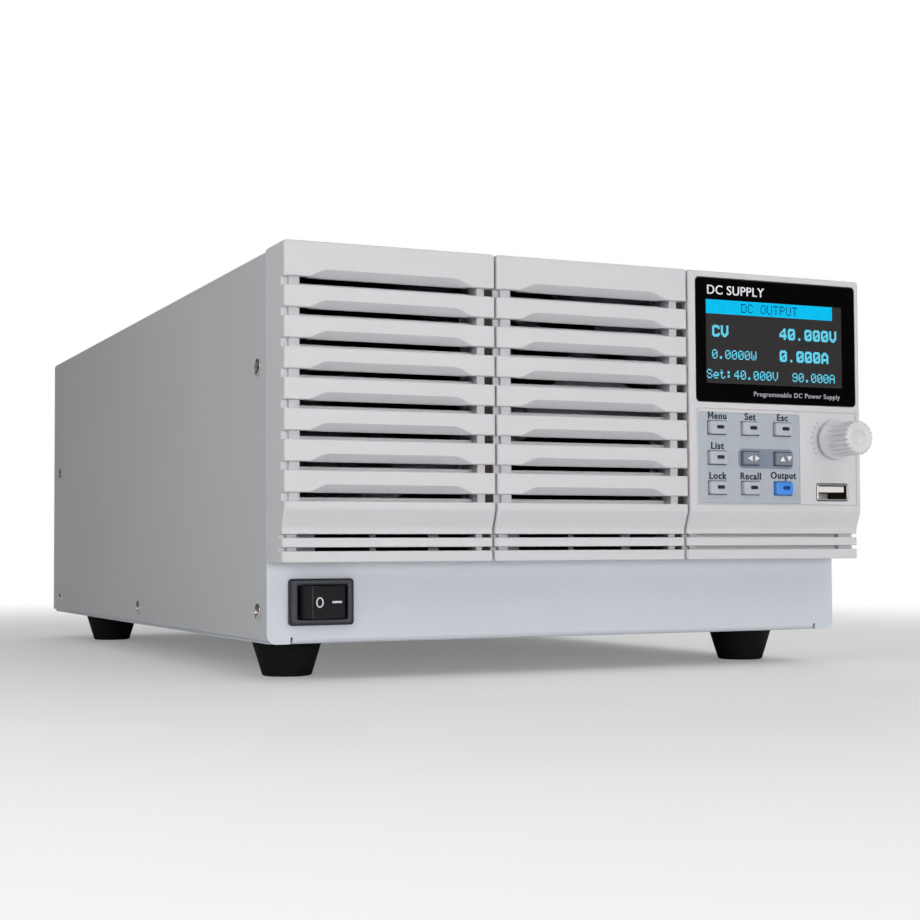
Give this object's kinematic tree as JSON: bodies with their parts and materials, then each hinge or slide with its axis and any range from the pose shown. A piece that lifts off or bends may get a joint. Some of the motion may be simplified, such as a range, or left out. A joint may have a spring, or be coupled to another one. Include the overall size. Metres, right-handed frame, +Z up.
{
  "type": "bench power supply",
  "caption": "Half-rack programmable DC bench power supply with louvred intakes, readout, keypad, rotary encoder, mains rocker, rubber feet, rear fans and output bars.",
  "frame": {"origin": "centre of the footprint, on the bench under the feet", "axes": "+X to the right of a person facing the front, +Y towards the back, +Z up"},
  "size_m": [0.2152, 0.4148, 0.136],
  "materials": {
    "bezel_plastic": "light grey fine-textured ABS",
    "cover_paint": "light grey fine-textured powder coat",
    "chassis_paint": "pale blue-grey powder coat",
    "display_glass": "black glossy window with a lit readout",
    "display_body": "black moulded frame",
    "keypad_film": "blue-grey satin plate",
    "key_plastic": "grey satin key caps",
    "arrow_key_plastic": "darker slate key caps",
    "output_key_plastic": "translucent blue key cap",
    "knob_plastic": "pale grey satin knob",
    "encoder_metal": "machined",
    "encoder_inner": "moulded contact carrier",
    "connector_shell": "plated steel",
    "connector_insert": "white moulded tongue",
    "switch_plastic": "black moulded plastic",
    "foot_rubber": "black rubber",
    "screw_steel": "nickel-plated pan head",
    "fan_plastic": "black moulded fan plastic",
    "terminal_tin": "tin-plated copper bar",
    "insulator_plastic": "black moulded insulator",
    "sense_green": "green pluggable terminal",
    "circuit_board": "solder-masked board",
    "heatsink_aluminium": "extruded aluminium",
    "transformer_core": "ferrite core",
    "cable_grey": "grey flat cable"
  },
  "bodies": {
    "chassis": {"grille_left": "bezel_plastic", "grille_middle": "bezel_plastic", "control_bezel": "bezel_plastic", "top_cover": "cover_paint", "base_chassis": "chassis_paint", "rear_panel": "chassis_paint", "display_window": "display_glass", "display_module": "display_body", "keypad_panel": "keypad_film", "encoder_body": "encoder_metal", "usb_port_shell": "connector_shell", "lan_jack": "connector_shell", "usb_device_jack": "connector_shell", "usb_port_tongue": "connector_insert", "switch_housing": "switch_plastic", "foot_front_left": "foot_rubber", "foot_front_right": "foot_rubber", "foot_rear_left": "foot_rubber", "foot_rear_right": "foot_rubber", "cover_screw_left_1": "screw_steel", "cover_screw_left_2": "screw_steel", "cover_screw_left_3": "screw_steel", "cover_screw_left_4": "screw_steel", "cover_screw_left_5": "screw_steel", "cover_screw_right_1": "screw_steel", "cover_screw_right_2": "screw_steel", "cover_screw_right_3": "screw_steel", "cover_screw_right_4": "screw_steel", "cover_screw_right_5": "screw_steel", "fan_frame_left": "fan_plastic", "fan_frame_middle": "fan_plastic", "fan_frame_right": "fan_plastic", "terminal_positive": "terminal_tin", "terminal_negative": "terminal_tin", "terminal_block": "insulator_plastic", "terminal_cover": "insulator_plastic", "analog_connector": "insulator_plastic", "ac_inlet": "insulator_plastic", "sense_connector": "sense_green", "power_board": "circuit_board", "front_board": "circuit_board", "heatsink": "heatsink_aluminium", "transformer": "transformer_core", "front_panel_cable": "cable_grey"},
    "key_menu": {"key_menu": "key_plastic"},
    "key_set": {"key_set": "key_plastic"},
    "key_esc": {"key_esc": "key_plastic"},
    "key_list": {"key_list": "key_plastic"},
    "key_left_right": {"key_left_right": "arrow_key_plastic"},
    "key_up_down": {"key_up_down": "arrow_key_plastic"},
    "key_lock": {"key_lock": "key_plastic"},
    "key_recall": {"key_recall": "key_plastic"},
    "key_output": {"key_output": "output_key_plastic"},
    "encoder_rotor": {"encoder_rotor": "encoder_inner"},
    "encoder_knob": {"encoder_knob": "knob_plastic", "encoder_shaft": "encoder_metal"},
    "mains_rocker": {"switch_rocker": "switch_plastic"},
    "fan_rotor_left": {"fan_rotor_left": "fan_plastic"},
    "fan_rotor_middle": {"fan_rotor_middle": "fan_plastic"},
    "fan_rotor_right": {"fan_rotor_right": "fan_plastic"}
  },
  "joints": [
    {"name": "press_menu", "type": "slide", "parent": "chassis", "child": "key_menu", "axis": [0, 1, 0], "range_m": [0, 0.0006], "stiffness_N_per_m": 800},
    {"name": "press_set", "type": "slide", "parent": "chassis", "child": "key_set", "axis": [0, 1, 0], "range_m": [0, 0.0006], "stiffness_N_per_m": 800},
    {"name": "press_esc", "type": "slide", "parent": "chassis", "child": "key_esc", "axis": [0, 1, 0], "range_m": [0, 0.0006], "stiffness_N_per_m": 800},
    {"name": "press_list", "type": "slide", "parent": "chassis", "child": "key_list", "axis": [0, 1, 0], "range_m": [0, 0.0006], "stiffness_N_per_m": 800},
    {"name": "press_left_right", "type": "slide", "parent": "chassis", "child": "key_left_right", "axis": [0, 1, 0], "range_m": [0, 0.0006], "stiffness_N_per_m": 800},
    {"name": "press_up_down", "type": "slide", "parent": "chassis", "child": "key_up_down", "axis": [0, 1, 0], "range_m": [0, 0.0006], "stiffness_N_per_m": 800},
    {"name": "press_lock", "type": "slide", "parent": "chassis", "child": "key_lock", "axis": [0, 1, 0], "range_m": [0, 0.0006], "stiffness_N_per_m": 800},
    {"name": "press_recall", "type": "slide", "parent": "chassis", "child": "key_recall", "axis": [0, 1, 0], "range_m": [0, 0.0006], "stiffness_N_per_m": 800},
    {"name": "press_output", "type": "slide", "parent": "chassis", "child": "key_output", "axis": [0, 1, 0], "range_m": [0, 0.0006], "stiffness_N_per_m": 800},
    {"name": "encoder_spin", "type": "hinge", "parent": "chassis", "child": "encoder_rotor", "pos_m": [0.0952, -0.1923, 0.0792], "axis": [0, 1, 0], "continuous": true},
    {"name": "encoder_push", "type": "slide", "parent": "encoder_rotor", "child": "encoder_knob", "axis": [0, 1, 0], "range_m": [0, 0.0005], "stiffness_N_per_m": 1500},
    {"name": "mains_switch", "type": "hinge", "parent": "chassis", "child": "mains_rocker", "pos_m": [-0.0891, -0.1737, 0.0251], "axis": [0, 0, 1], "range_deg": [-28, 0]},
    {"name": "fan_spin_left", "type": "hinge", "parent": "chassis", "child": "fan_rotor_left", "pos_m": [-0.07, 0.1607, 0.098], "axis": [0, 1, 0], "continuous": true},
    {"name": "fan_spin_middle", "type": "hinge", "parent": "chassis", "child": "fan_rotor_middle", "pos_m": [0, 0.1607, 0.098], "axis": [0, 1, 0], "continuous": true},
    {"name": "fan_spin_right", "type": "hinge", "parent": "chassis", "child": "fan_rotor_right", "pos_m": [0.07, 0.1607, 0.098], "axis": [0, 1, 0], "continuous": true}
  ]
}
